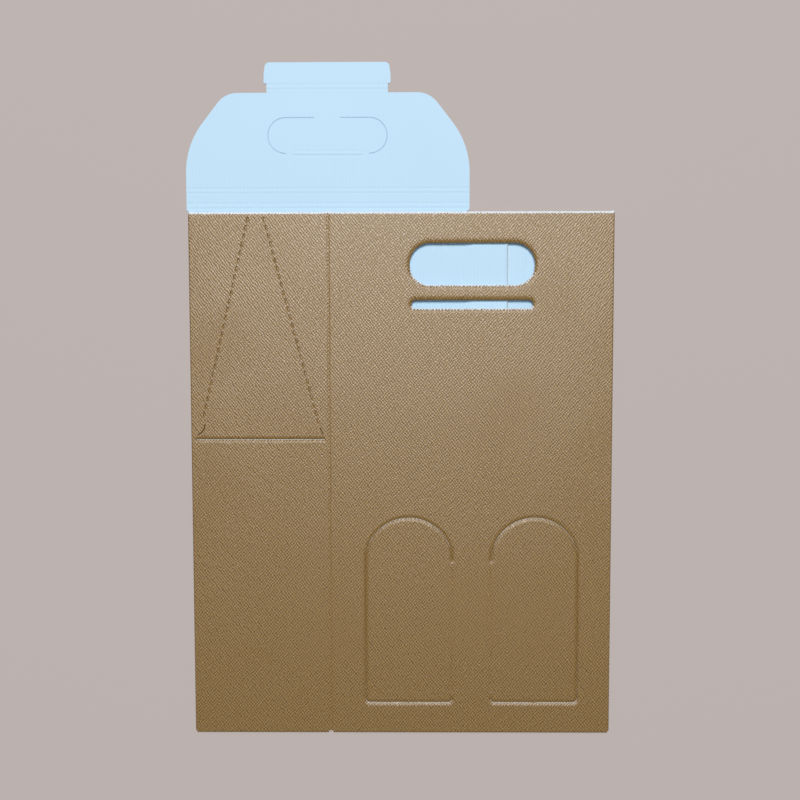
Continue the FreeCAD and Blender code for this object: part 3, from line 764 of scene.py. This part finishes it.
def make_liner():
    """Bluish white liner: matte, with the board's flutes just showing as faint lines along Y."""
    finish, nodes, links, shader, place = new_finish("white_liner")
    worn = place_effect(nodes, links, marks, place, Patch_scale=9.0)
    wave = nodes.new("ShaderNodeTexWave")
    wave.wave_type, wave.bands_direction = "BANDS", "X"
    wave.inputs["Scale"].default_value = FLUTES_PER_METRE * WAVES_PER_UNIT
    wave.inputs["Distortion"].default_value = 0.6
    links.new(place, wave.inputs["Vector"])
    fibre = cloud(nodes, links, place, 1500.0, 3.0, 0.6)
    tone = calculate(nodes, links, "MULTIPLY_ADD", wave.outputs["Fac"], 0.12,
                     calculate(nodes, links, "MULTIPLY", worn["Stain"], 0.25))
    links.new(blend_colours(nodes, links, tone, LINER_PALE, LINER_DEEP), shader.inputs["Base Color"])
    shader.inputs["Roughness"].default_value = 0.62
    height = calculate(nodes, links, "MULTIPLY_ADD", fibre, 0.35, wave.outputs["Fac"])
    emboss(nodes, links, shader, height, 0.2, 0.0001)
    return finish


white_liner = make_liner()

# %% [markdown]
# The raw edge of the board shows its torn fibres, pale, with darker specks between them.

# %% Raw board edge
RAW_FIBRE, RAW_SPECK = (0.88, 0.85, 0.78), (0.48, 0.38, 0.24)


def make_raw():
    """Raw board: pale fibres, with specks of the paper that was pressed into the cut."""
    finish, nodes, links, shader, place = new_finish("raw_board")
    fine = cloud(nodes, links, place, 1400.0, 4.0, 0.7)
    speck = calculate(nodes, links, "MULTIPLY_ADD", fine, 5.0, -2.6, clamp=True)
    links.new(blend_colours(nodes, links, speck, RAW_FIBRE, RAW_SPECK), shader.inputs["Base Color"])
    shader.inputs["Roughness"].default_value = 0.8
    emboss(nodes, links, shader, fine, 0.6, 0.00025)
    return finish


raw_board = make_raw()

# %% Finish the sleeve
sleeve = board_piece("sleeve", sheet, [gold_paper, white_liner, raw_board],
                     up=lambda face: face.calc_center_median().z > STACK - 1)
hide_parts("carton_body")
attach(sleeve, "carton")

# %% [markdown]
# The doors stay shut by nicks, tiny bridges of uncut board across the kerf. Each is a small slip of board
# with rounded edges, a little below the face.

# %% Nicks
SIDE_NICK_RISE, FOOT_NICK_SHARE = 10.5, 0.49
NICK_SIZE, NICK_DEPTH = (1.3, 0.9, 1.0), 0.95
side_share = (DOOR_STRAIGHT - SIDE_NICK_RISE) / (DOOR_STRAIGHT - CORNER)
nick_steps = (ARCH_STEPS + SIDE_STEPS * side_share,
              ARCH_STEPS + SIDE_STEPS + CORNER_STEPS + FOOT_STEPS * FOOT_NICK_SHARE)


def make_nicks():
    """The bridges that hold the doors, two on each."""
    bm = bmesh.new()
    for door in (door_left, door_right):
        for step in nick_steps:
            point, way = walk(door, step)
            turn = Matrix.Rotation(math.atan2(way.y, way.x), 4, "Z")
            place = Matrix.Translation((point.x, point.y, STACK - NICK_DEPTH))
            bmesh.ops.create_cube(bm, size=1.0, matrix=place @ turn @ Matrix.Diagonal((*NICK_SIZE, 1)))
    bmesh.ops.bevel(bm, geom=bm.edges[:], offset=0.12, segments=2, affect="EDGES", profile=0.5, material=-1)
    bmesh.ops.scale(bm, verts=bm.verts, vec=(MM, MM, MM))
    return make_piece("door_nicks", bm, [gold_paper])


nicks = make_nicks()
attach(nicks, "carton")

# %% [markdown]
# ## The lid
# The lid lies with its liner up. Each of its parts is a flat board whose edge is slightly pressed down,
# and between them run the creases, which the creasing rule has raised as a bead on this side.

# %% Lid boards
LID_FINISHES = [white_liner, gold_paper, raw_board]
SOFT_EDGE, EDGE_DROP = (0.7, 0.5), 0.16


def lid_board(name, points, still, cuts=()):
    """A flat piece of the lid: its outline, inset twice for a soft edge, with cuts inside. still holds
    the heights at which it meets a crease and isn't pressed down."""
    bm = new_board()
    verts = [bm.verts.new((x, y, BOARD)) for x, y in points]
    face = bm.faces.new(verts)
    if face.normal.z < 0:
        bmesh.ops.reverse_faces(bm, faces=[face])
    for width in SOFT_EDGE:
        bmesh.ops.inset_region(bm, faces=[face], thickness=width, use_boundary=True, use_even_offset=True)
    for vert in verts:
        vert.co.z -= 0.0 if any(abs(vert.co.y - y) < NEAR for y in still) else EDGE_DROP
    edges = list(face.edges)
    bmesh.ops.delete(bm, geom=[face], context="FACES_ONLY")
    rings = [press_cut(bm, path, width, rim, BOARD, sealed=sealed) for path, width, rim, sealed in cuts]
    lay_board(bm, edges + [edge for ring in rings for edge in ring])
    return board_piece(name, bm, LID_FINISHES)


# %% Outlines of the lid
def round_points(centre, radius, start, end, count):
    """Points on an arc, in degrees."""
    angles = [math.radians(start + (end - start) * i / count) for i in range(count + 1)]
    return [(centre[0] + radius * math.cos(a), centre[1] + radius * math.sin(a)) for a in angles]


def both_sides(points):
    """A right half's points and their mirror image, about the lid's middle."""
    return [(LID_MIDDLE + x, y) for x, y in points] + [(LID_MIDDLE - x, y) for x, y in reversed(points)]


# %% [markdown]
# The lid panel's side runs up straight, turns in on a large round, goes on along a slope and meets the
# shoulder on a small round. Its hand flap is held by nicks between two curved kerfs and a bead.

# %% The lid panel
lid_edge, big, small, slope = 92.15, 52.0, 16.5, 38.0
SHOULDER_INSET, NECK_RISE, NECK_HALF = 34, 3.6, 39.3
shoulder = TAB_CREASE - NECK_RISE
sine, cosine = math.sin(math.radians(slope)), math.cos(math.radians(slope))
run = (SHOULDER_INSET - big * (1 - cosine) - small * cosine) / sine
slope_foot = shoulder - small * (1 - sine) - run * cosine
lid_half = [(lid_edge, LID_TOP_CREASE + CREASE_HALF)]
lid_half += round_points((lid_edge - big, slope_foot - big * sine), big, 0, slope, 14)
lid_half += round_points((lid_edge - SHOULDER_INSET, shoulder - small), small, slope, 90, 10)
lid_half += [(NECK_HALF, shoulder), (NECK_HALF, TAB_CREASE - CREASE_HALF)]

FLAP_RISE, FLAP_RADIUS, FLAP_ROUND, FLAP_NICK, FLAP_FOOT = 24.0, 11.45, 27.25, 8.5, 22
flap_y = LID_TOP_CREASE + FLAP_RISE + FLAP_RADIUS
flap_right = moved([line((FLAP_NICK, FLAP_RADIUS), (FLAP_ROUND, FLAP_RADIUS), 4),
                    arc((FLAP_ROUND, 0), FLAP_RADIUS, 90, -90, 16)], LID_MIDDLE, flap_y)
flap_low = flap_y - FLAP_RADIUS
flap_foot = [line((LID_MIDDLE - FLAP_FOOT, flap_low), (LID_MIDDLE + FLAP_FOOT, flap_low))]
lid = lid_board("lid", both_sides(lid_half), (LID_TOP_CREASE + CREASE_HALF, TAB_CREASE - CREASE_HALF), [
    (flap_right, FLAP_HALF, FINE_RIM, False), (mirrored(flap_right, LID_MIDDLE), FLAP_HALF, FINE_RIM, False),
    (flap_foot, HINGE_HALF, BEAD_RIM, True)])
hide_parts("lid_panel")
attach(lid, "lid")

# %% The spine and the tab
spine_low, spine_high = LID_CREASE + CREASE_HALF, LID_TOP_CREASE - CREASE_HALF
spine = lid_board("spine", [(LID_LEFT, spine_low), (LID_RIGHT, spine_low), (LID_RIGHT, spine_high),
                            (LID_LEFT, spine_high)], (spine_low, spine_high))
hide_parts("lid_spine")
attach(spine, "spine")

TAB_CHEEK = [(40.6, 2.3), (41.1, 3.4), (41.0, 8)]  # from the middle, above the crease
TAB_CORNER, TAB_STRAIGHT = 3.2, 37.2
tab_half = [(NECK_HALF, TAB_CREASE + CREASE_HALF)] + [(x, TAB_CREASE + y) for x, y in TAB_CHEEK]
tab_half += round_points((TAB_STRAIGHT, TAB_END - TAB_CORNER), TAB_CORNER, 0, 90, 8)
tab = lid_board("tab", both_sides(tab_half), (TAB_CREASE + CREASE_HALF,))
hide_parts("tuck_tab")
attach(tab, "tab")

# %% [markdown]
# A crease is a strip of its own that belongs to both its neighbours.

# %% Creases
CREASE_ROWS = [(0.5, -0.12), (0.5, 0), (0.5, 0.1), (0.45, 0.07), (0.45, 0),
               (0.45, 0), (0.45, -0.07), (0.5, -0.1), (0.5, 0), (0.5, 0.12)]


def crease_strip(name, y, left, right, bodies):
    """The strip of board round one of the lid's creases."""
    bm = new_board()
    low = y - CREASE_HALF
    verts = [bm.verts.new((x, low, BOARD)) for x in (left, right)]
    bmesh.ops.subdivide_edges(bm, edges=[bm.edges.new(verts)], cuts=40)
    edges = list(bm.edges)
    for along, rise in CREASE_ROWS:
        edges = grow(bm, edges, y=along, z=rise)
    strip = board_piece(name, bm, LID_FINISHES)
    middle, high = (left + right) / 2 * MM, y + CREASE_HALF
    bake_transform(strip, *bodies, start=(middle, low * MM, BOARD * MM), end=(middle, high * MM, BOARD * MM))
    return strip


crease_strip("spine_crease", LID_CREASE, LID_LEFT, LID_RIGHT, ("carton", "spine"))
crease_strip("lid_crease", LID_TOP_CREASE, LID_LEFT, LID_RIGHT, ("spine", "lid"))
crease_strip("tab_crease", TAB_CREASE, LID_MIDDLE - NECK_HALF, LID_MIDDLE + NECK_HALF, ("lid", "tab"))

# %% [markdown]
# ## Floor, light and camera
# The pack lies on a plain taupe floor. The light is a large soft box beyond the lid, which gives the gold
# its sheen near the lid and lets it deepen towards the foot. A room with a faint even light is all round.
# The camera sees the floor mostly by a glow of its own colour, so that it stays even to its edges, and
# just enough of the light on it to keep the object's shadow.

# %% Floor
TAUPE, TAUPE_LIT, TAUPE_SHADED = (0.5, 0.437, 0.415), (0.49, 0.43, 0.41), (0.1, 0.088, 0.084)
GLOW = 0.82
FLOOR_DROP = 0.0001  # metres, so that the pack's underside and the floor don't share a plane


def make_floor():
    """A plain floor that keeps the object's shadow."""
    bm = bmesh.new()
    bmesh.ops.create_grid(bm, x_segments=1, y_segments=1, size=3.0)
    finish, nodes, links, shader, _ = new_finish("floor_taupe")
    shader.inputs["Roughness"].default_value = 0.9
    seen = nodes.new("ShaderNodeLightPath").outputs["Is Camera Ray"]
    links.new(blend_colours(nodes, links, seen, TAUPE_LIT, TAUPE_SHADED), shader.inputs["Base Color"])
    shader.inputs["Emission Color"].default_value = (*TAUPE, 1)
    links.new(calculate(nodes, links, "MULTIPLY", seen, GLOW), shader.inputs["Emission Strength"])
    floor = make_piece("floor", bm, [finish])
    floor.data.transform(Matrix.Translation((0, 0, -FLOOR_DROP)))


make_floor()

# %% Light
def soft_box(name, place, aim, size, power, colour):
    """A square area lamp that looks at a point."""
    lamp = bpy.data.lights.new(name, "AREA")
    lamp.shape, lamp.size, lamp.energy, lamp.color = "SQUARE", size, power, colour
    holder = bpy.data.objects.new(name, lamp)
    holder.location = place
    holder.rotation_euler = (Vector(aim) - Vector(place)).to_track_quat("-Z", "Y").to_euler()
    bpy.context.scene.collection.objects.link(holder)


soft_box("key_light", place=(0.02, 0.75, 2.05), aim=(0, 0.05, 0), size=0.68, power=39.5,
         colour=(0.92, 0.96, 1.0))

# %% Room
def make_room():
    """Even light from all round. Past the floor's edge the camera sees the floor's own colour."""
    world = bpy.data.worlds.new("room")
    world.use_nodes = True
    nodes, links = world.node_tree.nodes, world.node_tree.links
    seen = nodes.new("ShaderNodeLightPath").outputs["Is Camera Ray"]
    colour = blend_colours(nodes, links, seen, (0.147, 0.152, 0.16), TAUPE)
    links.new(colour, nodes["Background"].inputs["Color"])
    nodes["Background"].inputs["Strength"].default_value = 1.0
    bpy.context.scene.world = world


make_room()

# %% Camera
# The place, the tilt and the lens come from matching the pack's corners, holes and creases in the photo.
eye = bpy.data.objects.new("camera", bpy.data.cameras.new("camera"))
eye.location = (0.00582, 0.04349, 0.64648)
eye.rotation_euler = (-0.0642, 0.0091, -0.0019)
eye.data.lens, eye.data.sensor_width = 44.15, 36.0
bpy.context.scene.collection.objects.link(eye)
bpy.context.scene.camera = eye
bpy.context.scene.view_settings.view_transform = "Standard"
